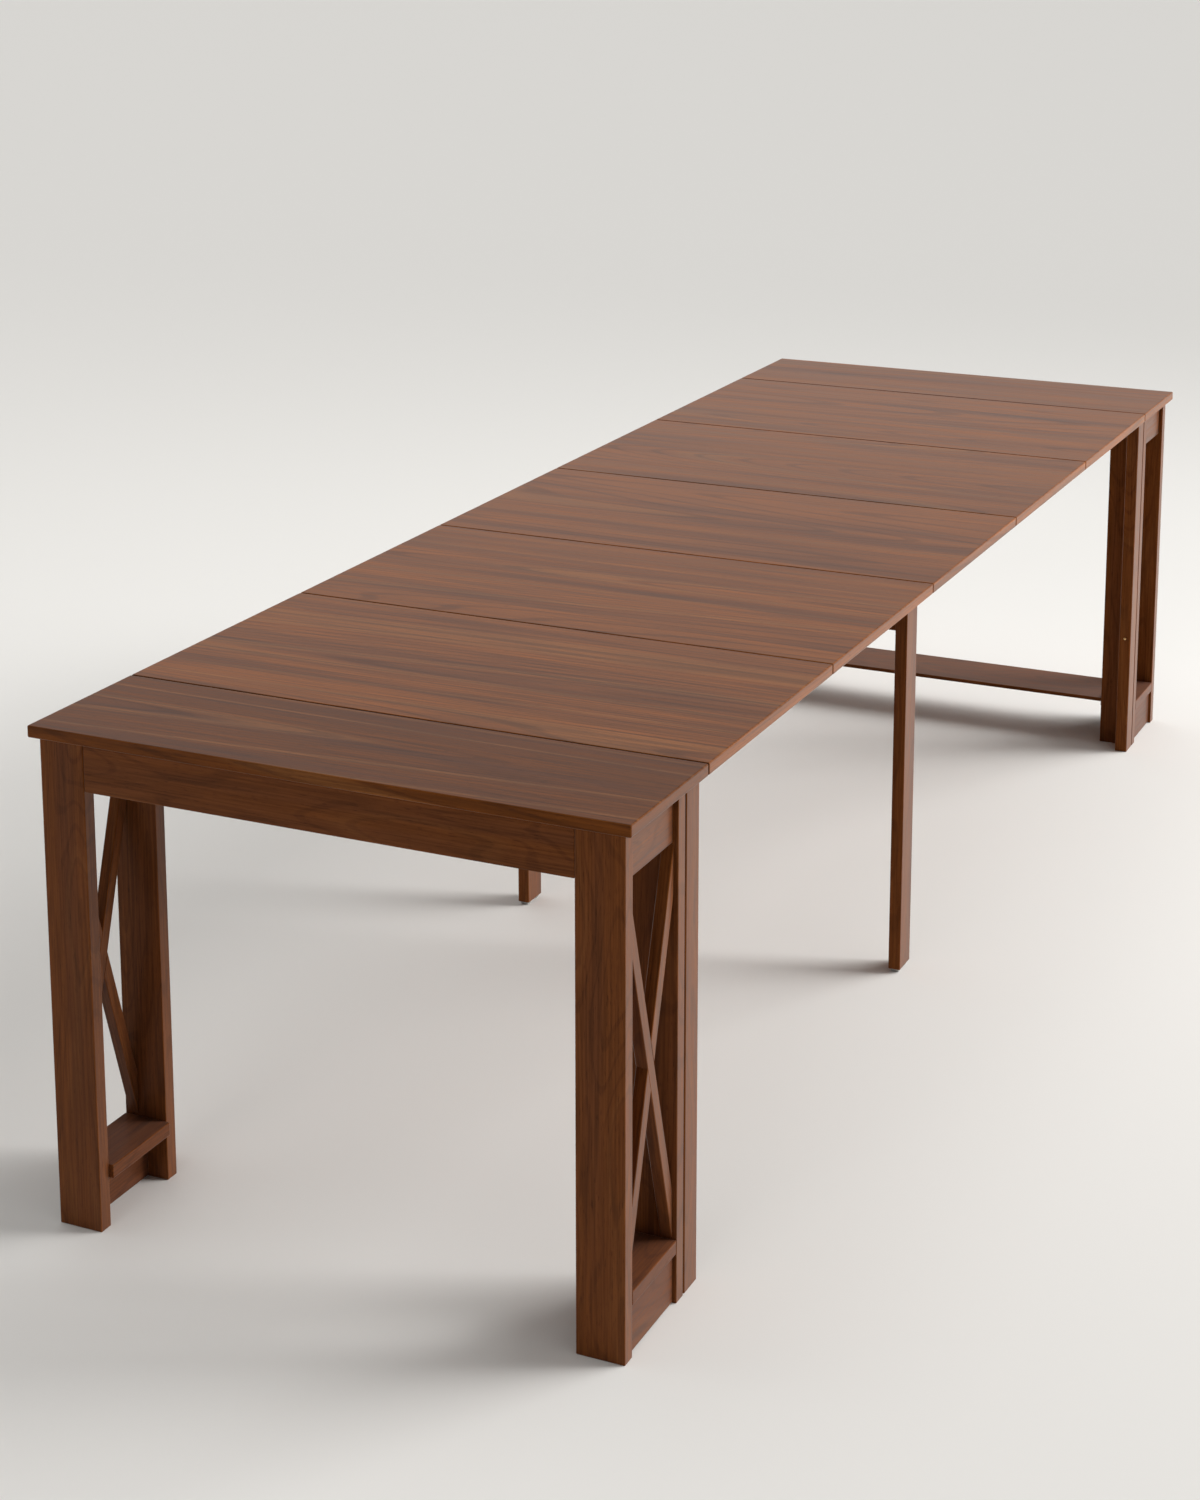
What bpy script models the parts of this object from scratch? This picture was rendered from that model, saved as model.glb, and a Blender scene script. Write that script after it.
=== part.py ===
"""Extending console table, shown open: two end frames, loose leaves, a centre support and telescopic rails.

Metres, +Z up. +X runs along the table from the near end to the far end, +Y is its left side.
The origin is on the floor, under the middle of the table.
"""

import math

import bmesh
import bpy
from mathutils import Vector

# Table
TABLE_WIDTH = 0.940
TABLE_HEIGHT = 0.770
END_TOP_LENGTH = 0.258
LEAF_COUNT = 5
LEAF_PITCH = 0.490
HALF_LENGTH = END_TOP_LENGTH + LEAF_COUNT * LEAF_PITCH / 2
TOP_THICKNESS = 0.018
SEAM = 0.0020
UNDERSIDE = TABLE_HEIGHT - TOP_THICKNESS

# Every glued or resting face keeps this gap
GAP = 0.0003

# Modelling aids
CUTTER_OVERRUN = 0.010
WELD_DISTANCE = 0.00001

# Eased edges
TOP_EASE = 0.0022
POST_EASE = 0.0014
SLAT_EASE = 0.0010
EASE_ANGLE = math.radians(40)

# End frame, measured inwards from the outer edge of the end top (depth) and out from the table's middle line
END_OVERHANG = 0.011
POST_THICKNESS = 0.024
POST_WIDTH = 0.073
FRAME_HALF_WIDTH = 0.457
POST_INNER = FRAME_HALF_WIDTH - POST_WIDTH
INNER_POST_DEPTH = 0.184
BAY_START = END_OVERHANG + POST_THICKNESS
BAY_END = INNER_POST_DEPTH

# Leg strip on the inner post: a tongue holds it off the post, which leaves the shadow groove
STRIP_GROOVE = 0.004
STRIP_WIDTH = 0.026
STRIP_START = INNER_POST_DEPTH + POST_THICKNESS + STRIP_GROOVE
STRIP_SETBACK = 0.002
STRIP_END = END_TOP_LENGTH - STRIP_SETBACK
STRIP_TONGUE = 0.012
STRIP_TONGUE_INSET = 0.008

# Aprons
APRON_HEIGHT = 0.073
APRON_THICKNESS = 0.022
APRON_SETBACK = 0.0006
SIDE_APRON_THICKNESS = 0.018
SIDE_APRON_SETBACK = 0.008
APRON_BOTTOM = UNDERSIDE - APRON_HEIGHT

# Low boards
FOOT_BOARD_TOP = 0.097
FOOT_BOARD_THICKNESS = 0.021
FOOT_BOARD_INNER = 0.377
KICK_SETBACK = 0.0055
KICK_THICKNESS = 0.033
KICK_CLEARANCE = 0.002
SHELF_THICKNESS = 0.008
SHELF_TOP = 0.093
SHELF_GROOVE_DEPTH = 0.010
SHELF_SIDE_GAP = 0.002

# X brace slats
SLAT_WIDTH = 0.020
SLAT_DEPTH = 0.018
SLAT_SETBACK = 0.0065
BRACE_TOP = 0.641
BRACE_BOTTOM = 0.135

# Centre support
CENTRE_LEG_X = -0.084
CENTRE_LEG_DEPTH = 0.055
CENTRE_LEG_WIDTH = 0.022
CENTRE_LEG_OUTER = 0.382
CENTRE_LEG_TOP = 0.745
CENTRE_BEAM_DEPTH = 0.024
CENTRE_BEAM_BOTTOM = 0.632
GLIDE_HEIGHT = 0.0055
GLIDE_PLATE = 0.002
GLIDE_LENGTH = 0.049
GLIDE_WIDTH = 0.014
GLIDE_PAD_RADIUS = 0.008
GLIDE_PAD_STEPS = 6

# Telescopic rails: members side by side, each with a dovetail tongue in its neighbour's groove
RAIL_MEMBERS = 8
RAIL_CENTRE_MEMBER = 3
RAIL_LENGTH = 0.440
RAIL_START = 0.038
RAIL_CLEARANCE = 0.0005
RAIL_TOP = UNDERSIDE - RAIL_CLEARANCE
RAIL_HEIGHT = 0.036
RAIL_OUTER = 0.327
RAIL_PITCH = 0.014
RAIL_BODY = 0.0134
RAIL_PAD = 0.001
DOVETAIL_REACH = 0.005
DOVETAIL_NECK = 0.004
DOVETAIL_FLARE = 0.002
DOVETAIL_CLEARANCE = 0.0009
EXTENSION = LEAF_COUNT * LEAF_PITCH
CENTRE_TRAVEL = 1.100

NEAR, FAR = -1, 1
HANDS = {"left": 1, "right": -1}

# How a drawn outline is turned: as drawn, standing in the XZ plane, or as a section of something along X
FLAT = (0.0, 0.0, 0.0)
UPRIGHT = (math.pi / 2, 0.0, 0.0)
ALONG_TABLE = (math.pi / 2, 0.0, math.pi / 2)


def clear_scene():
    for obj in list(bpy.data.objects):
        bpy.data.objects.remove(obj, do_unlink=True)


def new_collection(name):
    collection = bpy.data.collections.new(name)
    bpy.context.scene.collection.children.link(collection)
    return collection


def new_material(name, color, roughness, metallic=0.0):
    material = bpy.data.materials.new(name)
    material.use_nodes = True
    shader = material.node_tree.nodes["Principled BSDF"]
    shader.inputs["Base Color"].default_value = (*color, 1.0)
    shader.inputs["Roughness"].default_value = roughness
    shader.inputs["Metallic"].default_value = metallic
    return material


clear_scene()
PARTS = new_collection("extending_console_table")
CUTTERS = new_collection("cutters")
WALNUT_TOP = new_material("walnut_top", (0.24, 0.13, 0.085), 0.38)
WALNUT_FRAME = new_material("walnut_frame", (0.19, 0.095, 0.05), 0.45)
ALUMINIUM = new_material("extruded_aluminium", (0.62, 0.63, 0.64), 0.35, 1.0)
GREY_PLASTIC = new_material("grey_plastic", (0.35, 0.35, 0.35), 0.5)


def new_body(name, x=0.0):
    """An empty that carries the pieces of one rigid body."""
    body = bpy.data.objects.new(name, None)
    body.location = (x, 0.0, 0.0)
    PARTS.objects.link(body)
    return body


def place(obj, body, center, rotation=FLAT):
    obj.parent = body
    obj.location = Vector(center) - body.location
    obj.rotation_euler = rotation


def ease_edges(obj, width, segments):
    bevel = obj.modifiers.new("eased_edges", "BEVEL")
    bevel.width = width
    bevel.segments = segments
    bevel.limit_method = "ANGLE"
    bevel.angle_limit = EASE_ANGLE


def board(name, body, material, low, high, ease=POST_EASE, segments=2, collection=PARTS):
    """A rectangular board between two corners, with its edges eased."""
    low, high = Vector(low), Vector(high)
    size = high - low
    mesh = bpy.data.meshes.new(name)
    shape = bmesh.new()
    bmesh.ops.create_cube(shape, size=1.0)
    bmesh.ops.scale(shape, vec=size, verts=shape.verts)
    shape.to_mesh(mesh)
    shape.free()
    obj = bpy.data.objects.new(name, mesh)
    collection.objects.link(obj)
    mesh.materials.append(material)
    place(obj, body, (low + high) / 2)
    if ease:
        ease_edges(obj, ease, segments)
    return obj


def extruded_outline(name, body, material, points, length, center, rotation, collection=PARTS):
    """A flat outline, drawn as a filled 2D curve and given a thickness, as a welded mesh."""
    curve = bpy.data.curves.new(name + "_outline", "CURVE")
    curve.dimensions = "2D"
    curve.fill_mode = "BOTH"
    curve.extrude = length / 2
    spline = curve.splines.new("POLY")
    spline.points.add(len(points) - 1)
    for point, (x, y) in zip(spline.points, points):
        point.co = (x, y, 0.0, 1.0)
    spline.use_cyclic_u = True
    drawn = bpy.data.objects.new(name + "_outline", curve)
    collection.objects.link(drawn)
    graph = bpy.context.evaluated_depsgraph_get()
    mesh = bpy.data.meshes.new_from_object(drawn.evaluated_get(graph))
    bpy.data.objects.remove(drawn, do_unlink=True)
    welded = bmesh.new()
    welded.from_mesh(mesh)
    bmesh.ops.remove_doubles(welded, verts=welded.verts, dist=WELD_DISTANCE)
    bmesh.ops.recalc_face_normals(welded, faces=welded.faces)
    welded.to_mesh(mesh)
    welded.free()
    mesh.name = name
    mesh.materials.clear()
    mesh.materials.append(material)
    obj = bpy.data.objects.new(name, mesh)
    collection.objects.link(obj)
    place(obj, body, center, rotation)
    return obj


def cut(obj, cutter):
    cutter.hide_render = True
    cutter.display_type = "WIRE"
    difference = obj.modifiers.new("cut_" + cutter.name, "BOOLEAN")
    difference.operation = "DIFFERENCE"
    difference.solver = "EXACT"
    difference.object = cutter


def span(end, start, stop):
    """Two depths from an end's outer edge, as a low and a high X."""
    return sorted((end * (HALF_LENGTH - start), end * (HALF_LENGTH - stop)))


def side(hand, inner, outer):
    """Two distances from the table's middle line, as a low and a high Y."""
    return sorted((hand * inner, hand * outer))


def end_top(end, name, body):
    x0, x1 = span(end, 0.0, END_TOP_LENGTH - SEAM / 2)
    half = TABLE_WIDTH / 2
    board(name, body, WALNUT_TOP, (x0, -half, UNDERSIDE), (x1, half, TABLE_HEIGHT), TOP_EASE, 3)


def leaf(number):
    start = END_TOP_LENGTH - HALF_LENGTH + (number - 1) * LEAF_PITCH
    half = TABLE_WIDTH / 2
    body = new_body(f"leaf_{number}_body", start + LEAF_PITCH / 2)
    low = (start + SEAM / 2, -half, UNDERSIDE)
    high = (start + LEAF_PITCH - SEAM / 2, half, TABLE_HEIGHT)
    board(f"leaf_{number}", body, WALNUT_TOP, low, high, TOP_EASE, 3)


def end_apron(end, name, body):
    x0, x1 = span(end, END_OVERHANG + APRON_SETBACK, END_OVERHANG + APRON_SETBACK + APRON_THICKNESS)
    half = POST_INNER - GAP
    board(name, body, WALNUT_FRAME, (x0, -half, APRON_BOTTOM), (x1, half, UNDERSIDE - GAP))


def post(end, hand, name, body, depth):
    x0, x1 = span(end, depth, depth + POST_THICKNESS)
    y0, y1 = side(hand, POST_INNER, FRAME_HALF_WIDTH)
    board(name, body, WALNUT_FRAME, (x0, y0, 0.0), (x1, y1, UNDERSIDE - GAP))


def leg_strip(end, hand, name, body):
    """A square strip with a tongue that seats on the inner post."""
    outer, inner = FRAME_HALF_WIDTH, FRAME_HALF_WIDTH - STRIP_WIDTH
    tongue_out = outer - STRIP_TONGUE_INSET
    tongue_in = tongue_out - STRIP_TONGUE
    outline = [
        (STRIP_END, outer),
        (STRIP_START, outer),
        (STRIP_START, tongue_out),
        (STRIP_START - STRIP_GROOVE + GAP, tongue_out),
        (STRIP_START - STRIP_GROOVE + GAP, tongue_in),
        (STRIP_START, tongue_in),
        (STRIP_START, inner),
        (STRIP_END, inner),
    ]
    points = [(end * (HALF_LENGTH - depth), hand * y) for depth, y in outline]
    height = UNDERSIDE - GAP
    strip = extruded_outline(name, body, WALNUT_FRAME, points, height, (0.0, 0.0, height / 2), FLAT)
    ease_edges(strip, POST_EASE, 1)


def side_apron(end, hand, name, body):
    x0, x1 = span(end, BAY_START + GAP, BAY_END - GAP)
    outer = FRAME_HALF_WIDTH - SIDE_APRON_SETBACK
    y0, y1 = side(hand, outer - SIDE_APRON_THICKNESS, outer)
    board(name, body, WALNUT_FRAME, (x0, y0, APRON_BOTTOM), (x1, y1, UNDERSIDE - GAP))


def foot_board(end, hand, name, body):
    x0, x1 = span(end, BAY_START + GAP, BAY_END - GAP)
    y0, y1 = side(hand, FOOT_BOARD_INNER, FRAME_HALF_WIDTH)
    bottom = FOOT_BOARD_TOP - FOOT_BOARD_THICKNESS
    return board(name, body, WALNUT_FRAME, (x0, y0, bottom), (x1, y1, FOOT_BOARD_TOP))


def kick_block(end, hand, name, body):
    x0, x1 = span(end, BAY_START + GAP, BAY_END - GAP)
    outer = FRAME_HALF_WIDTH - KICK_SETBACK
    y0, y1 = side(hand, outer - KICK_THICKNESS, outer)
    top = FOOT_BOARD_TOP - FOOT_BOARD_THICKNESS - GAP
    board(name, body, WALNUT_FRAME, (x0, y0, KICK_CLEARANCE), (x1, y1, top))


def shelf(body, foot_boards):
    """A thin shelf along the far end, let into a groove in the edge of each foot board."""
    x0, x1 = span(FAR, BAY_START + SHELF_SIDE_GAP, BAY_END - SHELF_SIDE_GAP)
    reach = FOOT_BOARD_INNER + SHELF_GROOVE_DEPTH - GAP
    low = (x0, -reach, SHELF_TOP - SHELF_THICKNESS)
    high = (x1, reach, SHELF_TOP)
    board("far_shelf", body, WALNUT_FRAME, low, high, SLAT_EASE, 1)
    for name, foot in foot_boards.items():
        hand = HANDS[name]
        y0, y1 = side(hand, FOOT_BOARD_INNER - CUTTER_OVERRUN, FOOT_BOARD_INNER + SHELF_GROOVE_DEPTH)
        low = (x0 - CUTTER_OVERRUN, y0, SHELF_TOP - SHELF_THICKNESS - GAP)
        high = (x1 + CUTTER_OVERRUN, y1, SHELF_TOP + GAP)
        cut(foot, board(f"shelf_groove_{name}", body, WALNUT_FRAME, low, high, 0.0, 1, CUTTERS))


def slat_outline(start_height, end_height, margin=0.0):
    """A slanting slat seen from the side, cut plumb where it meets the posts: (depth, height) points."""
    start, stop = BAY_START + GAP, BAY_END - GAP
    run = stop - start
    slope = math.hypot(run, end_height - start_height) / run
    half = (SLAT_WIDTH / 2 + margin) * slope
    return [
        (start, start_height - half),
        (stop, end_height - half),
        (stop, end_height + half),
        (start, start_height + half),
    ]


def slat(name, body, hand, heights, margin, inner, outer, collection=PARTS):
    """A near-end slat, or the cutter of its halving, between two distances from the middle line."""
    points = [(depth - HALF_LENGTH, z) for depth, z in slat_outline(*heights, margin)]
    middle = hand * (inner + outer) / 2
    return extruded_outline(
        name, body, WALNUT_FRAME, points, outer - inner, (0.0, middle, 0.0), UPRIGHT, collection
    )


def x_brace(hand, label, body):
    """Two slats, each halved over half of its depth where they cross."""
    outer = FRAME_HALF_WIDTH - SLAT_SETBACK
    inner = outer - SLAT_DEPTH
    middle = (inner + outer) / 2
    falling, rising = (BRACE_TOP, BRACE_BOTTOM), (BRACE_BOTTOM, BRACE_TOP)
    first = slat(f"near_brace_falling_{label}", body, hand, falling, 0.0, inner, outer)
    second = slat(f"near_brace_rising_{label}", body, hand, rising, 0.0, inner, outer)
    over = slat(f"halving_in_falling_{label}", body, hand, rising, GAP, inner - GAP, middle + GAP / 2, CUTTERS)
    under = slat(f"halving_in_rising_{label}", body, hand, falling, GAP, middle - GAP / 2, outer + GAP, CUTTERS)
    for piece, cutter in ((first, over), (second, under)):
        ease_edges(piece, SLAT_EASE, 1)
        cut(piece, cutter)


def end_frame(end, prefix, body):
    """The pieces that both end frames have."""
    end_top(end, f"{prefix}_top", body)
    end_apron(end, f"{prefix}_apron", body)
    foot_boards = {}
    for label, hand in HANDS.items():
        post(end, hand, f"{prefix}_outer_post_{label}", body, END_OVERHANG)
        post(end, hand, f"{prefix}_inner_post_{label}", body, INNER_POST_DEPTH)
        leg_strip(end, hand, f"{prefix}_leg_strip_{label}", body)
        side_apron(end, hand, f"{prefix}_side_apron_{label}", body)
        foot_boards[label] = foot_board(end, hand, f"{prefix}_foot_board_{label}", body)
        kick_block(end, hand, f"{prefix}_kick_block_{label}", body)
    return foot_boards


def rail_travel(member):
    """How far a rail member has moved out from the closed table."""
    steps_out = RAIL_MEMBERS - 1 - RAIL_CENTRE_MEMBER
    if member <= RAIL_CENTRE_MEMBER:
        return CENTRE_TRAVEL * member / RAIL_CENTRE_MEMBER
    return CENTRE_TRAVEL + (EXTENSION - CENTRE_TRAVEL) * (member - RAIL_CENTRE_MEMBER) / steps_out


def dovetail(face, direction, depth, neck):
    """Four points of a dovetail, tongue or groove, from a face in the given direction."""
    tip = neck + DOVETAIL_FLARE * depth / DOVETAIL_REACH
    return [(face, neck), (face + direction * depth, tip), (face + direction * depth, -tip), (face, -neck)]


def rail_profile(member):
    """Section of one rail member: (distance from its outer face inwards, height from mid-height)."""
    top = RAIL_HEIGHT / 2
    bottom = -top - (RAIL_PAD if member == RAIL_CENTRE_MEMBER else 0.0)
    neck = DOVETAIL_NECK + DOVETAIL_CLEARANCE
    groove = dovetail(0.0, 1, DOVETAIL_REACH, neck) if member > 0 else []
    tongue = dovetail(RAIL_BODY, 1, DOVETAIL_REACH, DOVETAIL_NECK) if member < RAIL_MEMBERS - 1 else []
    return [(0.0, bottom), *groove[::-1], (0.0, top), (RAIL_BODY, top), *tongue, (RAIL_BODY, bottom)]


def rail_member(member, hand, label, body):
    outer = RAIL_OUTER - member * RAIL_PITCH
    points = [(hand * (outer - inwards), z) for inwards, z in rail_profile(member)]
    middle = RAIL_START + RAIL_LENGTH / 2 + rail_travel(member) - HALF_LENGTH
    center = (middle, 0.0, RAIL_TOP - RAIL_HEIGHT / 2)
    extruded_outline(f"rail_{label}_{member}", body, ALUMINIUM, points, RAIL_LENGTH, center, ALONG_TABLE)


def glide_outline():
    """A thin plate with two round-nosed pads under it, seen from the side."""
    half = GLIDE_LENGTH / 2
    drop = GLIDE_HEIGHT - GLIDE_PLATE
    points = [(half, GLIDE_HEIGHT), (-half, GLIDE_HEIGHT)]
    for center in (GLIDE_PAD_RADIUS - half, half - GLIDE_PAD_RADIUS):
        for step in range(GLIDE_PAD_STEPS + 1):
            angle = math.pi * (1 + step / GLIDE_PAD_STEPS)
            points.append((center + GLIDE_PAD_RADIUS * math.cos(angle), drop + drop * math.sin(angle)))
    return points


def centre_support(body):
    """Two legs joined by a beam under the centre members of the rails."""
    half = CENTRE_LEG_DEPTH / 2
    inner = CENTRE_LEG_OUTER - CENTRE_LEG_WIDTH
    for label, hand in HANDS.items():
        y0, y1 = side(hand, inner, CENTRE_LEG_OUTER)
        low = (CENTRE_LEG_X - half, y0, GLIDE_HEIGHT + GAP)
        high = (CENTRE_LEG_X + half, y1, CENTRE_LEG_TOP)
        board(f"centre_leg_{label}", body, WALNUT_FRAME, low, high)
        middle = (CENTRE_LEG_X, (y0 + y1) / 2, 0.0)
        name = f"centre_glide_{label}"
        extruded_outline(name, body, GREY_PLASTIC, glide_outline(), GLIDE_WIDTH, middle, UPRIGHT)
    half = CENTRE_BEAM_DEPTH / 2
    top = RAIL_TOP - RAIL_HEIGHT - RAIL_PAD - GAP
    low = (CENTRE_LEG_X - half, GAP - inner, CENTRE_BEAM_BOTTOM)
    high = (CENTRE_LEG_X + half, inner - GAP, top)
    board("centre_beam", body, WALNUT_FRAME, low, high)


def build():
    near_end = new_body("near_end", -HALF_LENGTH)
    far_end = new_body("far_end", HALF_LENGTH)
    end_frame(NEAR, "near", near_end)
    for label, hand in HANDS.items():
        x_brace(hand, label, near_end)
    shelf(far_end, end_frame(FAR, "far", far_end))
    for number in range(1, LEAF_COUNT + 1):
        leaf(number)
    stages = {0: near_end, RAIL_MEMBERS - 1: far_end}
    for member in range(RAIL_MEMBERS):
        if member not in stages:
            stages[member] = new_body(f"rail_stage_{member}", rail_travel(member) - HALF_LENGTH)
        for label, hand in HANDS.items():
            rail_member(member, hand, label, stages[member])
    centre_support(stages[RAIL_CENTRE_MEMBER])


build()
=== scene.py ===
# %% [markdown]
# # An extending console table, opened out
#
# The solids of the table come ready made, at their real size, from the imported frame. This lesson
# dresses them: it sets up a camera and a plain studio, gives each kind of board its own run of
# walnut grain, and adds the small fasteners. Everything is in metres, with +Z up and +X along the
# table.

# %% Load the frame
import math

import bmesh
import bpy
from mathutils import Euler, Matrix, Vector


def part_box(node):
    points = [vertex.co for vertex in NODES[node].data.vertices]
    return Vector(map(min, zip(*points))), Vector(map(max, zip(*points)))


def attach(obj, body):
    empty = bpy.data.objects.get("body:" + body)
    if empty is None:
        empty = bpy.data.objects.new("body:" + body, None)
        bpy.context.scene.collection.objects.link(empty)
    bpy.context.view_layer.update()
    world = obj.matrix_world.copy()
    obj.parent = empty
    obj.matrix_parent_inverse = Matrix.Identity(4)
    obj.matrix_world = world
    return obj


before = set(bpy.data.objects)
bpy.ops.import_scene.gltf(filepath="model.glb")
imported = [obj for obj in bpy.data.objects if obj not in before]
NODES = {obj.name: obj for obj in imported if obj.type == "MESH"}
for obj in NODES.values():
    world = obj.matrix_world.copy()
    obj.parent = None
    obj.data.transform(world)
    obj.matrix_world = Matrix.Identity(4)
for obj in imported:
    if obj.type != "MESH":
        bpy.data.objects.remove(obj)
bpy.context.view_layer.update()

# %% [markdown]
# ## The camera
#
# The picture was taken from a little above standing height, off the near right corner, with a
# long lens. The camera was aimed down only slightly and the rest of the table brought into the
# frame by shifting the lens, which keeps uprights nearly parallel. A tilt would do too, but the
# legs would then lean. A part of that shift is kept here, enough for the legs to stand as they
# should.

# %% Place the camera
CAMERA_PLACE = Vector((-4.478, -1.815, 2.023))
CAMERA_HEADING = math.radians(24.87)
CAMERA_PITCH = math.radians(-11.48)
CAMERA_ROLL = math.radians(-0.06)
# Lens and sensor in millimetres, and the shift as a share of the sensor
LENS_LENGTH, SENSOR_WIDTH = 65.24, 36.0
LENS_SHIFT_UP = -0.250

camera_data = bpy.data.cameras.new("photo_camera")
camera_data.lens = LENS_LENGTH
camera_data.sensor_width = SENSOR_WIDTH
camera_data.shift_y = LENS_SHIFT_UP
camera = bpy.data.objects.new("photo_camera", camera_data)
bpy.context.scene.collection.objects.link(camera)
level = Euler((math.pi / 2 + CAMERA_PITCH, 0.0, CAMERA_HEADING - math.pi / 2)).to_matrix()
aim = level @ Matrix.Rotation(CAMERA_ROLL, 3, "Z")
camera.matrix_world = Matrix.Translation(CAMERA_PLACE) @ aim.to_4x4()
bpy.context.scene.camera = camera
print("camera:", LENS_LENGTH, "mm lens,", CAMERA_PLACE.z, "m above the floor")

# %% [markdown]
# ## Colours and nodes
#
# Colours are written as the hex values that a colour picker shows. Shaders work in linear light,
# so one function turns hex to linear. A second one adds a node, sets its properties, and gives
# each input a value or a link. A third starts a new material.

# %% Helpers for materials
OPAQUE = 1.0


def linear(hex_colour):
    """The linear RGBA of an sRGB hex colour."""
    channels = [int(hex_colour[i:i + 2], 16) / 255 for i in (1, 3, 5)]
    light = [c / 12.92 if c <= 0.04045 else ((c + 0.055) / 1.055) ** 2.4 for c in channels]
    return (*light, OPAQUE)


def add(tree, kind, inputs=None, **settings):
    """Adds a shader node with its settings, and gives its inputs values or links."""
    new = tree.nodes.new("ShaderNode" + kind)
    for name, value in settings.items():
        setattr(new, name, value)
    for key, value in (inputs or {}).items():
        if isinstance(value, bpy.types.NodeSocket):
            tree.links.new(value, new.inputs[key])
        else:
            new.inputs[key].default_value = value
    return new


def new_material(name):
    """A material, its node tree and its Principled shader."""
    material = bpy.data.materials.new(name)
    material.use_nodes = True
    return material, material.node_tree, material.node_tree.nodes["Principled BSDF"]


print("helpers: #808080 is", round(linear("#808080")[0], 3), "in linear light")

# %% [markdown]
# ## The floor
#
# The table stands on a pale sweep. A sheet that curls up behind it would do for one picture, but
# this table is seen from every side, so the sweep is one large flat floor. View settings stay at
# Standard, so that a colour shows about as it is written.

# %% Matte floor paint
FLOOR_COLOUR = "#ebe9e5"
FLOOR_REACH, FLOOR_SIDES = 60.0, 64
FLOOR_ROUGHNESS, FLOOR_SPECULAR = 0.9, 0.2

bpy.context.scene.view_settings.view_transform = "Standard"


def studio_floor():
    """A large flat floor of matte pale paint, which shows shadows and no highlight."""
    mesh = bpy.data.meshes.new("studio_floor")
    shape = bmesh.new()
    bmesh.ops.create_circle(shape, cap_ends=True, segments=FLOOR_SIDES, radius=FLOOR_REACH)
    shape.to_mesh(mesh)
    shape.free()
    floor = bpy.data.objects.new("studio_floor", mesh)
    bpy.context.scene.collection.objects.link(floor)
    paint, _, shader = new_material("matte_floor_paint")
    shader.inputs["Base Color"].default_value = linear(FLOOR_COLOUR)
    shader.inputs["Roughness"].default_value = FLOOR_ROUGHNESS
    shader.inputs["Specular IOR Level"].default_value = FLOOR_SPECULAR
    mesh.materials.append(paint)


studio_floor()
print("floor:", FLOOR_REACH, "m from the middle to its rim")

# %% [markdown]
# ## The sky
#
# The sky does two jobs. To the table it is soft light from all round, brighter on the far right.
# To the camera, and in reflections, it is a pale backdrop that is the same on every side and
# darkens with height, as a studio wall does. Real walls could do both, but they would stand in
# the way of other views, so the Light Path node tells the two kinds of ray apart.

# %% Soft light and a pale backdrop
SKY_COLOUR = "#f6f5f3"
SKY_BRIGHT_SIDE = Vector((0.79, -0.59, 0.16))
# The strength on the bright side, and how quickly it falls off towards the other
SKY_STRENGTH, SKY_FALLOFF = 0.6, 2.0
BACKDROP_COLOUR = "#fbfaf8"
# The backdrop's strength at the floor and high up, and how high it has faded
BACKDROP_FOOT, BACKDROP_HEAD, BACKDROP_FADE = 0.92, 0.07, 0.36


def studio_sky():
    """Soft light that is stronger from one side. Seen or mirrored, it is a pale backdrop."""
    world = bpy.data.worlds.new("studio_sky")
    world.use_nodes = True
    bpy.context.scene.world = world
    tree = world.node_tree
    direction = add(tree, "TexCoord").outputs["Generated"]
    side = add(tree, "VectorMath", {0: direction, 1: SKY_BRIGHT_SIDE}, operation="DOT_PRODUCT")
    side = add(tree, "MapRange", {"Value": side.outputs["Value"], "From Min": -1.0}).outputs[0]
    power = add(tree, "Math", {0: side, 1: SKY_FALLOFF}, operation="POWER").outputs[0]
    power = add(tree, "Math", {0: power, 1: SKY_STRENGTH}, operation="MULTIPLY").outputs[0]
    lit = add(tree, "Background", {"Color": linear(SKY_COLOUR), "Strength": power}).outputs[0]

    height = add(tree, "SeparateXYZ", {0: direction}).outputs["Z"]
    fade = {"Value": height, "From Max": BACKDROP_FADE}
    fade = {**fade, "To Min": BACKDROP_FOOT, "To Max": BACKDROP_HEAD}
    fade = add(tree, "MapRange", fade).outputs[0]
    seen = add(tree, "Background", {"Color": linear(BACKDROP_COLOUR), "Strength": fade}).outputs[0]

    rays = add(tree, "LightPath").outputs
    mirrored = {0: rays["Is Glossy Ray"], 1: rays["Is Transmission Ray"]}
    mirrored = add(tree, "Math", mirrored, operation="MAXIMUM").outputs[0]
    direct = {0: rays["Is Camera Ray"], 1: mirrored}
    direct = add(tree, "Math", direct, operation="MAXIMUM").outputs[0]
    sky = add(tree, "MixShader", {0: direct, 1: lit, 2: seen}).outputs[0]
    tree.links.new(sky, tree.nodes["World Output"].inputs["Surface"])


studio_sky()
print("sky: light up to", SKY_STRENGTH, "and a backdrop of", BACKDROP_FOOT, "at the floor")

# %% [markdown]
# ## The lamps
#
# Four broad lights from far off give a plain, even level, with the most from the right, which
# sends the shadows to the left. Lamps close by could do the same, but the floor under them would
# burn out to white. One soft box, high at the far right, makes the right-hand faces brighter
# towards the far end. All are left out of reflections, so that the lacquer mirrors the pale
# backdrop and not a lamp.

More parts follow.
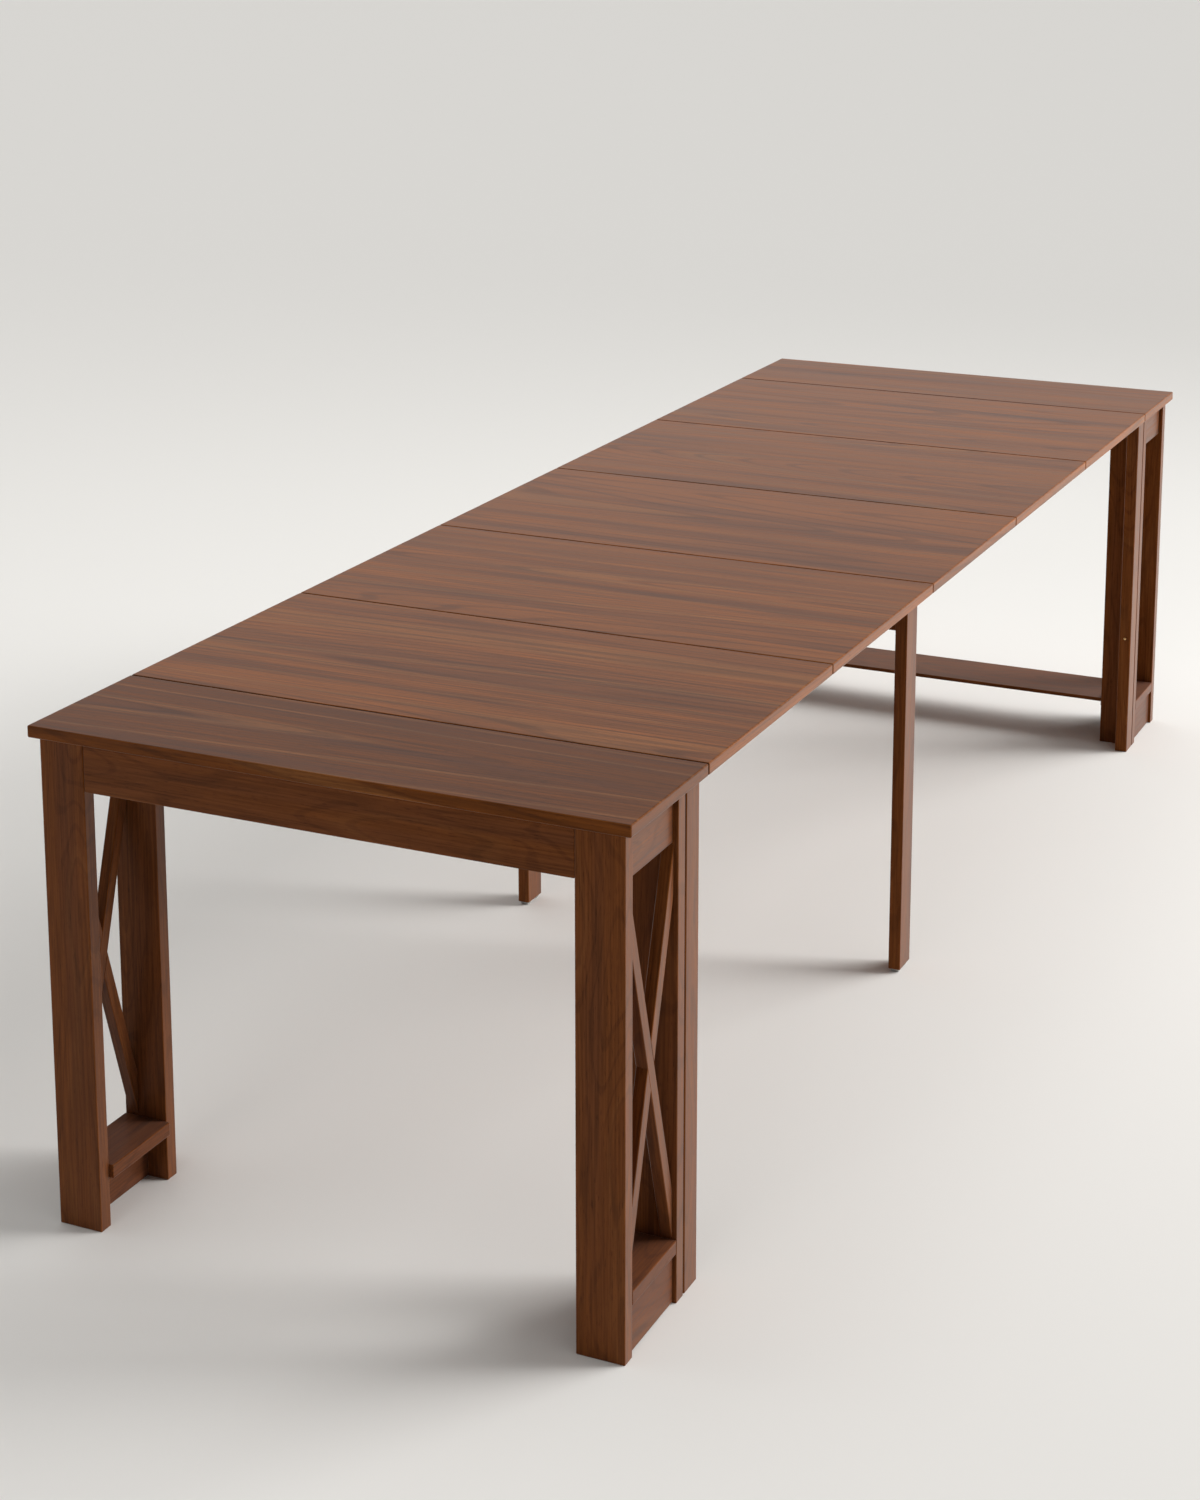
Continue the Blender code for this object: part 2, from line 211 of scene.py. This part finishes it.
# %% Broad lights and a soft box
# Where each light stands, as a bearing from +X and a height in degrees, how wide it is in
# degrees, and its strength
SOFT_LIGHTS = {
    "ceiling_light": (0, 90, 60, 0.55),
    "right_light": (-50, 28, 42, 2.18),
    "left_light": (75, 50, 60, 0.42),
    "front_light": (180, 20, 25, 0.40),
}
BOX_PLACE, BOX_AIM = Vector((4.6, -8.0, 4.4)), Vector((1.5, -0.5, 0.35))
BOX_WIDTH, BOX_HEIGHT = 5.0, 3.0
BOX_POWER, BOX_SPREAD = 57.0, math.radians(44)


def soft_light(name, bearing, height, width, strength):
    """A broad even light from far off."""
    data = bpy.data.lights.new(name, "SUN")
    data.energy, data.angle = strength, math.radians(width)
    lamp = bpy.data.objects.new(name, data)
    lamp.rotation_euler = (0.0, math.radians(90 - height), math.radians(bearing))
    lamp.visible_glossy = False
    bpy.context.scene.collection.objects.link(lamp)


def soft_box():
    """A rectangular lamp whose light is kept to a cone, so that the floor near it stays plain."""
    data = bpy.data.lights.new("soft_box", "AREA")
    data.shape = "RECTANGLE"
    data.size, data.size_y = BOX_WIDTH, BOX_HEIGHT
    data.energy, data.spread = BOX_POWER, BOX_SPREAD
    lamp = bpy.data.objects.new("soft_box", data)
    lamp.location = BOX_PLACE
    lamp.rotation_euler = (BOX_AIM - BOX_PLACE).to_track_quat("-Z", "Y").to_euler()
    lamp.visible_camera = lamp.visible_glossy = False
    bpy.context.scene.collection.objects.link(lamp)


for light_name, light_settings in SOFT_LIGHTS.items():
    soft_light(light_name, *light_settings)
soft_box()
print("lamps:", len(SOFT_LIGHTS), "broad lights and a soft box")

# %% [markdown]
# ## Lacquered walnut
#
# The boards are walnut, stained a warm brown and sprayed with a satin lacquer. Walnut gives the
# eye long tan streaks, broad bands of darker heartwood, fine fibre lines and short dark pores,
# all drawn out along the grain. An image of a plank would do for one board, but here each board
# needs its own run of grain, so the figure is worked out in the board's own space: noise
# stretched along the grain, with its sizes given in millimetres. A top is sliced veneer, with
# long calm rings and tan streaks. A post is sawn from a small solid board, with short arched
# rings and hardly any streak.

# %% Veneer and solid boards
# Sizes are across and along the grain, in millimetres. Streaks and lines are counted over one
# full swing of the rings' noise. Depths say how far a layer stains the wood, and gloss how
# strongly the lacquer reflects
VENEER = {
    "brown": "#844c22", "rings": (280, 5200), "fibre": (4.5, 240), "fibre_depth": 0.25,
    "lines": 70, "line_depth": 0.30, "streaks": 9, "streak_depth": 0.45, "gloss": 0.5,
}
SOLID = {
    "brown": "#6c3c1a", "rings": (85, 430), "fibre": (3.0, 120), "fibre_depth": 0.22,
    "lines": 13, "line_depth": 0.22, "streaks": 3, "streak_depth": 0.12, "gloss": 0.5,
}
# The near end's top gets a darker brown, as painted shade for the lower light that falls on it.
# The feet get a darker brown too, as painted shade for the shadow low in each end between the
# posts, and a thinner lacquer
VENEER_PAINTED_SHADE = {**VENEER, "brown": "#683812"}
SOLID_PAINTED_SHADE = {**SOLID, "brown": "#613314", "gloss": 0.15}
print("walnut: fibre drawn", VENEER["fibre"][0], "mm wide on tops,", SOLID["fibre"][0], "on posts")

# %% [markdown]
# ### Where a point lies in the wood
#
# Think of each board as sawn from an endless block of walnut whose grain runs along Z. The
# board's place is turned until its grain lies along Z, then shifted by a step of its own, so that
# no two boards look alike. The ends of the top boards carry a strip of edge banding, whose grain
# runs along the edge and not into it, so there the axes are swapped.

# %% From the board to the block
# How a board's place is turned so that its grain lies along Z
GRAIN_UP = (0.0, 0.0, 0.0)
GRAIN_ACROSS_TABLE = (math.pi / 2, 0.0, 0.0)
GRAIN_ALONG_TABLE = (0.0, -math.pi / 2, 0.0)
# How far apart in the block two boards can lie, in metres
BOARD_SHIFT = (7.3, 3.1, 17.9)
# A face counts as an end when it faces along the grain at least this squarely
SQUARE_ON = 0.9
# The places of the inputs and the output of a Mix node that mixes vectors
MIX_VECTOR_A, MIX_VECTOR_B, MIXED_VECTOR = 4, 5, 1


def in_the_wood(tree, turn, is_top):
    """A point's place in the block, and how squarely the surface faces each of its axes."""
    place = add(tree, "TexCoord").outputs["Object"]
    place = add(tree, "Mapping", {"Vector": place, "Rotation": turn}).outputs[0]
    facing = {"Vector": add(tree, "NewGeometry").outputs["True Normal"], "Rotation": turn}
    facing = add(tree, "Mapping", facing, vector_type="NORMAL").outputs[0]
    facing = add(tree, "VectorMath", {0: facing}, operation="ABSOLUTE").outputs[0]
    facing = add(tree, "SeparateXYZ", {0: facing}).outputs
    if is_top:
        x, y, z = add(tree, "SeparateXYZ", {0: place}).outputs
        banding = add(tree, "CombineXYZ", {0: y, 1: z, 2: x}).outputs[0]
        is_end = {0: facing["Z"], 1: SQUARE_ON}
        is_end = add(tree, "Math", is_end, operation="GREATER_THAN").outputs[0]
        swap = {0: is_end, MIX_VECTOR_A: place, MIX_VECTOR_B: banding}
        place = add(tree, "Mix", swap, data_type="VECTOR").outputs[MIXED_VECTOR]
    board = add(tree, "ObjectInfo").outputs["Random"]
    shift = {0: board, 1: BOARD_SHIFT, 2: place}
    return add(tree, "VectorMath", shift, operation="MULTIPLY_ADD").outputs[0], facing


print("boards: shifted by up to", BOARD_SHIFT, "m in the block")

# %% [markdown]
# ### The figure
#
# Four noises make the figure: smooth rings, broad bands of heartwood, fibre and pores. The
# streaks and the fine lines are not noises of their own. They follow the rings, as the sine of
# the same slow noise at two rates, because on real wood they are layers of the same growth and
# bend together.

# %% Rings, bands, fibre and pores
MM = 0.001
HEART_BANDS = (46, 1300)
# Real fibre lines are near 0.3 mm wide and pores near 0.2 mm: both are drawn coarser, or they
# would not show
PORES = (1.3, 16)
# The detail of a noise: one with smooth outlines, and one with a finer noise laid over it
SMOOTH, FINE = 1.0, 2.0


def grain_scale(size):
    """Noise cells per metre across and along the grain, from a size in millimetres."""
    across, along = (1 / (length * MM) for length in size)
    return (across, across, along)


def walnut_figure(tree, wood, figure):
    """The layers of the figure at a place in the block, by name."""
    layers = {}
    for layer, size, detail in (
        ("rings", figure["rings"], SMOOTH),
        ("bands", HEART_BANDS, FINE),
        ("fibre", figure["fibre"], FINE),
        ("pores", PORES, SMOOTH),
    ):
        cells = {0: wood, 1: grain_scale(size)}
        cells = add(tree, "VectorMath", cells, operation="MULTIPLY").outputs[0]
        noise = add(tree, "TexNoise", {"Vector": cells, "Scale": 1.0, "Detail": detail})
        layers[layer] = noise.outputs[0]
    for layer in ("streaks", "lines"):
        waves = {0: layers["rings"], 1: figure[layer] * math.tau}
        turns = add(tree, "Math", waves, operation="MULTIPLY").outputs[0]
        layers[layer] = add(tree, "Math", {0: turns}, operation="SINE").outputs[0]
    return layers


print("figure: pores drawn", PORES[0], "mm wide and", PORES[1], "mm long")

# %% [markdown]
# ### Joints and edges
#
# The sides of the top boards, where they meet, are stained dark and gather dust, and painted shade
# for the shadow down in each joint is laid over them, which draws each joint as a thin dark line.
# The eased edges face no single side squarely. Sanding leaves them a little paler, and the same
# paler tone is a painted highlight along each edge. Both could be painted by hand, but they are
# found from the way the surface faces, so that they fit every board.

# %% Find the joints and the eased edges
# The joints of the top all lie nearer the middle of the table than this
TABLE_MIDDLE, JOINT_REACH = 0.0, 1.3
# The joint nearest the camera gets the most painted shade, as for a joint that gapes, and the
# joints beyond this stretch of the table, which are shut, the least
JOINT_SHADE_FADE = (-1.1, -0.7)
NEAR_JOINT_SHADE, FAR_JOINT_SHADE = 0.8, 0.34


def joint_shade(tree, across):
    """Where a top board's side meets the next board: stain and dust, and painted shade, most at the
    near end.
    """
    x = add(tree, "SeparateXYZ", {0: add(tree, "TexCoord").outputs["Object"]}).outputs["X"]
    meets = {0: x, 1: TABLE_MIDDLE, 2: JOINT_REACH}
    meets = add(tree, "Math", meets, operation="COMPARE").outputs[0]
    shade_span = {"Value": x, "From Min": JOINT_SHADE_FADE[0], "From Max": JOINT_SHADE_FADE[1]}
    shade_span = {**shade_span, "To Min": NEAR_JOINT_SHADE, "To Max": FAR_JOINT_SHADE}
    depth = add(tree, "MapRange", shade_span, interpolation_type="SMOOTHSTEP").outputs[0]
    depth = add(tree, "Math", {0: meets, 1: depth}, operation="MULTIPLY").outputs[0]
    return add(tree, "Math", {0: depth, 1: across}, operation="MULTIPLY").outputs[0]


def squareness(tree, facing):
    """1 on a flat side, and less on an eased edge."""
    most = add(tree, "Math", {0: facing["X"], 1: facing["Y"]}, operation="MAXIMUM").outputs[0]
    return add(tree, "Math", {0: most, 1: facing["Z"]}, operation="MAXIMUM").outputs[0]


print("joints: within", JOINT_REACH, "m of the middle of the table")

# %% [markdown]
# ### The colour of the wood
#
# Each layer stains the brown in turn, from the broad bands to the joints, and the fibre then
# shades the whole. The layers at the eased edges and the joints also hold a painted highlight and
# painted shade. One noise through a colour ramp could do it too, but layers that are kept apart
# can each follow their own part of the real wood.

# %% Stain the brown
WALNUT_DARK = "#523020"
WALNUT_TAN = "#865730"
WALNUT_PORE_AND_JOINT_SHADE = "#2c1409"
# Paler eased edges: wear from sanding, and a painted highlight along each edge
RUBBED_EDGE_AND_HIGHLIGHT = "#a5652f"
# Where each layer starts to stain the wood and where it is full, and how far it stains it
BAND_SPAN, BAND_DEPTH = (0.42, 0.72), 0.58
STREAK_SPAN, LINE_SPAN = (0.84, 1.0), (0.60, 0.95)
PORE_SPAN, PORE_DEPTH = (0.60, 0.74), 0.45
EDGE_SPAN, EDGE_DEPTH = (0.98, 0.85), 0.12
JOINT_SPAN, JOINT_DEPTH = (0.0, 0.9), 0.9
FIBRE_SPAN = (0.30, 0.70)
# The places of the inputs and the output of a Mix node that mixes colours
MIX_COLOUR_A, MIX_COLOUR_B, MIXED_COLOUR = 6, 7, 2


def stained_brown(tree, layers, facing, figure, is_top):
    """The brown of a board with every layer of its figure in it."""
    stains = [
        (layers["bands"], *BAND_SPAN, BAND_DEPTH, WALNUT_DARK),
        (layers["streaks"], *STREAK_SPAN, figure["streak_depth"], WALNUT_TAN),
        (layers["lines"], *LINE_SPAN, figure["line_depth"], WALNUT_PORE_AND_JOINT_SHADE),
        (layers["pores"], *PORE_SPAN, PORE_DEPTH, WALNUT_PORE_AND_JOINT_SHADE),
        # The eased edges: paler from sanding, with a painted highlight
        (squareness(tree, facing), *EDGE_SPAN, EDGE_DEPTH, RUBBED_EDGE_AND_HIGHLIGHT),
    ]
    # The joints: stain and dust, with painted shade down in the joint
    if is_top:
        stains.append((joint_shade(tree, facing["X"]), *JOINT_SPAN, JOINT_DEPTH, WALNUT_PORE_AND_JOINT_SHADE))
    colour = linear(figure["brown"])
    for layer, start, full, depth, stain in stains:
        span = {"Value": layer, "From Min": start, "From Max": full, "To Max": depth}
        share = add(tree, "MapRange", span, interpolation_type="SMOOTHSTEP").outputs[0]
        mix = {0: share, MIX_COLOUR_A: colour, MIX_COLOUR_B: linear(stain)}
        colour = add(tree, "Mix", mix, data_type="RGBA").outputs[MIXED_COLOUR]

    depth = figure["fibre_depth"]
    shade = {"Value": layers["fibre"], "From Min": FIBRE_SPAN[0], "From Max": FIBRE_SPAN[1]}
    shade = {**shade, "To Min": 1 - depth, "To Max": 1 + depth}
    shade = add(tree, "MapRange", shade, interpolation_type="SMOOTHSTEP").outputs[0]
    return add(tree, "VectorMath", {0: colour, 1: shade}, operation="MULTIPLY").outputs[0]


print("stains: dark", WALNUT_DARK, "tan", WALNUT_TAN, "pores", WALNUT_PORE_AND_JOINT_SHADE)

# %% [markdown]
# ### One lacquered walnut for each run of grain
#
# The same recipe serves every board. Only the way that the board is turned in the block and its
# figure change, so the function takes those. Sprayed lacquer is satin, and the fibre under it
# makes it a little duller in lines. Its reflection is amber where it is seen squarely and turns
# white at a slant, and a faint haze lies over it.

# %% The walnut recipe
LACQUER_IOR = 1.50
LACQUER_AMBER = "#6b3c1c"
LACQUER_ROUGHNESS = (0.28, 0.37)
LACQUER_HAZE = 0.08
# How much of the grain can be felt through the lacquer, in millimetres
RELIEF_DEPTH, RELIEF_STRENGTH = 0.06, 0.25


def lacquered_walnut(name, turn, figure, is_top=False):
    """Stained walnut under satin lacquer: brown with tan streaks, and a soft sheen."""
    material, tree, shader = new_material(name)
    wood, facing = in_the_wood(tree, turn, is_top)
    layers = walnut_figure(tree, wood, figure)
    colour = stained_brown(tree, layers, facing, figure, is_top)
    dull = {"Value": layers["fibre"], "From Min": FIBRE_SPAN[0], "From Max": FIBRE_SPAN[1]}
    dull = {**dull, "To Min": LACQUER_ROUGHNESS[0], "To Max": LACQUER_ROUGHNESS[1]}
    dull = add(tree, "MapRange", dull, interpolation_type="SMOOTHSTEP").outputs[0]
    relief = {0: layers["fibre"], 1: layers["pores"]}
    relief = add(tree, "Math", relief, operation="SUBTRACT").outputs[0]
    bump = {"Height": relief, "Strength": RELIEF_STRENGTH, "Distance": RELIEF_DEPTH * MM}
    bump = add(tree, "Bump", bump).outputs[0]

    tree.links.new(colour, shader.inputs["Base Color"])
    tree.links.new(dull, shader.inputs["Roughness"])
    tree.links.new(bump, shader.inputs["Normal"])
    shader.inputs["IOR"].default_value = LACQUER_IOR
    shader.inputs["Specular IOR Level"].default_value = figure["gloss"]
    shader.inputs["Specular Tint"].default_value = linear(LACQUER_AMBER)
    shader.inputs["Sheen Weight"].default_value = LACQUER_HAZE
    return material


print("lacquer: roughness", LACQUER_ROUGHNESS, "with a relief of", RELIEF_DEPTH, "mm")

# %% [markdown]
# ### Which way the grain runs
#
# A board's grain follows its length, because wood is strong that way. On the top it runs across
# the table, from side to side; posts and strips stand upright; the low boards and side aprons lie
# along the table. A small function finds the boards by their names and gives them their finish.

# %% Dress the boards
def dress(material, *words):
    """Gives a finish to every node whose name holds one of the words. Returns how many."""
    found = [node for name, node in NODES.items() if any(word in name for word in words)]
    for node in found:
        node.data.materials.clear()
        node.data.materials.append(material)
    return len(found)


walnut_top = lacquered_walnut("lacquered_walnut_top", GRAIN_ACROSS_TABLE, VENEER, is_top=True)
# The near end's top: its darker brown is painted shade
walnut_near_top_painted_shade = lacquered_walnut(
    "lacquered_walnut_top_painted_shade", GRAIN_ACROSS_TABLE, VENEER_PAINTED_SHADE, is_top=True)
walnut_across = lacquered_walnut("lacquered_walnut_across", GRAIN_ACROSS_TABLE, SOLID)
walnut_upright = lacquered_walnut("lacquered_walnut_upright", GRAIN_UP, SOLID)
walnut_along = lacquered_walnut("lacquered_walnut_along", GRAIN_ALONG_TABLE, SOLID)
# The feet: their darker brown is painted shade for the shadow low in each end
walnut_foot_painted_shade = lacquered_walnut("lacquered_walnut_along_painted_shade", GRAIN_ALONG_TABLE, SOLID_PAINTED_SHADE)

print("tops:", dress(walnut_top, "far_top", "leaf_") + dress(walnut_near_top_painted_shade, "near_top"))
print("uprights:", dress(walnut_upright, "_post_", "_strip_", "centre_leg_"))
print("side aprons:", dress(walnut_along, "_side_apron_"))
print("feet:", dress(walnut_foot_painted_shade, "_foot_board_", "_kick_block_"))
print("across:", dress(walnut_across, "near_apron", "far_apron", "centre_beam", "far_shelf"))

# %% [markdown]
# ### The slanting slats
#
# The grain of a brace follows the slat, so the wood is leant over by the slat's own slope, read
# from its box. The slope could be typed in, but then it would be wrong if the slats changed.

# %% Dress the X braces
def slat_lean(node):
    """The angle between a slat and the upright, from the box that it fills."""
    low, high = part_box(node)
    return math.atan2(high[0] - low[0], high[2] - low[2])


for way, sign in (("rising", -1), ("falling", 1)):
    lean = sign * slat_lean(f"near_brace_{way}_left")
    slat_walnut = lacquered_walnut(f"lacquered_walnut_{way}_slat", (0.0, lean, 0.0), SOLID)
    count = dress(slat_walnut, f"_brace_{way}_")
    print(way, "slats:", count, "leaning", round(math.degrees(lean), 1), "degrees")

# %% [markdown]
# ## The rails
#
# The rails are extruded aluminium, left plain. The die draws fine lines along the bar, which
# stretch every highlight across it. An anisotropic shader could do that without lines, but the
# lines can be seen close by, so they are drawn. They are really hundredths of a millimetre wide,
# and are drawn coarser here.

# %% Extruded aluminium
ALUMINIUM_COLOUR = "#c4c5c6"
DIE_LINES = (0.8, 400)
DIE_ROUGHNESS = (0.28, 0.46)
# Depths are in millimetres
DIE_DEPTH, BUMP_STRENGTH = 0.03, 0.3
METAL, NOT_METAL = 1.0, 0.0


def extruded_aluminium():
    """Bare extruded aluminium: a pale metal with faint lines along the bar."""
    material, tree, shader = new_material("extruded_aluminium")
    place = add(tree, "TexCoord").outputs["Object"]
    bar = add(tree, "Mapping", {"Vector": place, "Rotation": GRAIN_ALONG_TABLE}).outputs[0]
    cells = {0: bar, 1: grain_scale(DIE_LINES)}
    cells = add(tree, "VectorMath", cells, operation="MULTIPLY").outputs[0]
    lines = add(tree, "TexNoise", {"Vector": cells, "Scale": 1.0, "Detail": FINE}).outputs[0]
    dull = {"Value": lines, "To Min": DIE_ROUGHNESS[0], "To Max": DIE_ROUGHNESS[1]}
    dull = add(tree, "MapRange", dull).outputs[0]
    bump = {"Height": lines, "Strength": BUMP_STRENGTH, "Distance": DIE_DEPTH * MM}
    bump = add(tree, "Bump", bump).outputs[0]
    shader.inputs["Base Color"].default_value = linear(ALUMINIUM_COLOUR)
    shader.inputs["Metallic"].default_value = METAL
    tree.links.new(dull, shader.inputs["Roughness"])
    tree.links.new(bump, shader.inputs["Normal"])
    return material


print("rail members:", dress(extruded_aluminium(), "rail_"))

# %% [markdown]
# ## The glides
#
# The centre legs slide on moulded grey plastic. A mould that is spark-eroded leaves a fine dull
# grain. Such an even grain also suits tumbled or plated metal, so one function serves them all:
# it takes the size of the grain in millimetres, the range of its roughness and how deep it is.

# %% Moulded plastic
PLASTIC_COLOUR = "#9a9894"
PLASTIC_ROUGHNESS = (0.42, 0.62)
# Real mould grain is near 0.1 mm across. It is drawn coarser, or it would not show
MOULD_GRAIN, MOULD_DEPTH = 1.2, 0.05


def fine_grained(name, colour, metallic, grain, roughness, depth):
    """A surface with an even fine grain that breaks up its highlight."""
    material, tree, shader = new_material(name)
    place = add(tree, "TexCoord").outputs["Object"]
    speckle = {"Vector": place, "Scale": 1 / (grain * MM), "Detail": FINE}
    speckle = add(tree, "TexNoise", speckle).outputs[0]
    dull = {"Value": speckle, "To Min": roughness[0], "To Max": roughness[1]}
    dull = add(tree, "MapRange", dull).outputs[0]
    bump = {"Height": speckle, "Strength": BUMP_STRENGTH, "Distance": depth * MM}
    bump = add(tree, "Bump", bump).outputs[0]
    shader.inputs["Base Color"].default_value = linear(colour)
    shader.inputs["Metallic"].default_value = metallic
    tree.links.new(dull, shader.inputs["Roughness"])
    tree.links.new(bump, shader.inputs["Normal"])
    return material


# Moulded polyethylene: dull, with a fine grain from the mould
plastic = fine_grained(
    "moulded_grey_plastic", PLASTIC_COLOUR, NOT_METAL, MOULD_GRAIN, PLASTIC_ROUGHNESS, MOULD_DEPTH)
print("glides:", dress(plastic, "_glide_"))

# %% [markdown]
# ## Brass and zinc
#
# When the table is shut, a brass stud on each far leg strip snaps into a brass cup on the near
# one. The rails that do not travel hang from zinc-plated screws. Brass catches are tumbled to
# take off their burrs, which leaves a soft shine, and plating leaves a faint cloudy grain. One
# roughness all over would be simpler, but it looks like paint, so both get a fine grain.

# %% Metals for the hardware
BRASS_COLOUR, BRASS_ROUGHNESS = "#d8b27a", (0.28, 0.42)
ZINC_COLOUR, ZINC_ROUGHNESS = "#b4b7bb", (0.30, 0.48)
# Tumbling and plating leave a grain near 0.05 mm across. It is drawn coarser, or it would not show
TUMBLED_GRAIN, PLATED_GRAIN = 0.5, 0.8
METAL_DEPTH = 0.01

# Tumbled brass: a warm yellow metal whose highlight is soft
brass = fine_grained(
    "satin_brass", BRASS_COLOUR, METAL, TUMBLED_GRAIN, BRASS_ROUGHNESS, METAL_DEPTH)
# Zinc-plated steel: a cool pale metal with a faint cloudy grain
zinc = fine_grained(
    "zinc_plated_steel", ZINC_COLOUR, METAL, PLATED_GRAIN, ZINC_ROUGHNESS, METAL_DEPTH)
print("metals:", brass.name, "and", zinc.name)

# %% [markdown]
# ## Turned parts
#
# Studs, cups and pan-head screws are all turned, so each is a profile spun about an axis, which
# is also how a lathe makes it. A stack of cylinders would be quicker, but it has no domed head
# and no rim. A profile lists a radius and a height for each point, in millimetres. It dips a
# little below the surface, as the real part does.

# %% Spin a profile
STUD = [(0, 2.2), (1.4, 2.0), (2.5, 1.4), (3.1, 0.5), (3.2, -0.2), (0, -0.2)]
CUP = [(0, 0.1), (2.4, 0.1), (3.2, 0.7), (5.2, 0.8), (5.8, 0.4), (5.8, -0.2), (0, -0.2)]
PAN_HEAD = [(0, 2.2), (1.6, 2.1), (2.8, 1.6), (3.4, 0.8), (3.5, -0.2), (0, -0.2)]
SPIN_STEPS = 32
# Points nearer than this, in millimetres, are one point
SAME_POINT = 0.001
CREASE = math.radians(35)
UP = Vector((0, 0, 1))


def turned(name, profile, finish, body, place, way):
    """Spins a profile about an axis that starts at a place and points some way."""
    shape = bmesh.new()
    points = [shape.verts.new((radius * MM, 0.0, height * MM)) for radius, height in profile]
    edges = [shape.edges.new(pair) for pair in zip(points, points[1:])]
    bmesh.ops.spin(
        shape, geom=points + edges, axis=UP, cent=(0, 0, 0), angle=math.tau, steps=SPIN_STEPS)
    bmesh.ops.remove_doubles(shape, verts=shape.verts, dist=SAME_POINT * MM)
    bmesh.ops.recalc_face_normals(shape, faces=shape.faces)
    for face in shape.faces:
        face.smooth = True
    turn = UP.rotation_difference(way).to_matrix().to_4x4()
    shape.transform(Matrix.Translation(place) @ turn)
    mesh = bpy.data.meshes.new(name)
    shape.to_mesh(mesh)
    shape.free()
    mesh.set_sharp_from_angle(angle=CREASE)
    mesh.materials.append(finish)
    piece = bpy.data.objects.new(name, mesh)
    bpy.context.scene.collection.objects.link(piece)
    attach(piece, body)
    return piece


print("profiles: stud, cup and pan head, in", SPIN_STEPS, "steps round")

# %% [markdown]
# ### Studs, cups and screws in place
#
# Each part sits on the board or rail that carries it, so its place is read from that board's or
# rail's box. Only the height of the catches and the spacing of the screws are typed. Typed places
# would do for all, until a board moved.

# %% Place the hardware
# How high the catches sit above the floor
CATCH_HEIGHT = 0.2605
# Screws along a fixed rail, measured from the end of the rail
SCREW_STEPS = (0.025, 0.110, 0.195)
ALONG, DOWN = Vector((1, 0, 0)), Vector((0, 0, -1))
# Each end's catch part, the way that it faces, and the number of its fixed rail
ENDS = {"near": ("cup", CUP, ALONG, 0), "far": ("stud", STUD, -ALONG, 7)}

hardware = []
for end, (part, profile, inward, rail) in ENDS.items():
    for hand in ("left", "right"):
        low, high = (Vector(corner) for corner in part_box(f"{end}_leg_strip_{hand}"))
        place = (low + high) / 2 + inward * (high.x - low.x) / 2
        place.z = CATCH_HEIGHT
        hardware.append(turned(f"catch_{part}_{hand}", profile, brass, f"{end}_end", place, inward))

        low, high = (Vector(corner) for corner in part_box(f"rail_{hand}_{rail}"))
        outer = low.x if end == "near" else high.x
        for number, step in enumerate(SCREW_STEPS, 1):
            place = Vector((outer + inward.x * step, (low.y + high.y) / 2, low.z))
            name = f"rail_screw_{end}_{hand}_{number}"
            hardware.append(turned(name, PAN_HEAD, zinc, f"{end}_end", place, DOWN))
print("hardware:", len(hardware), "turned pieces")
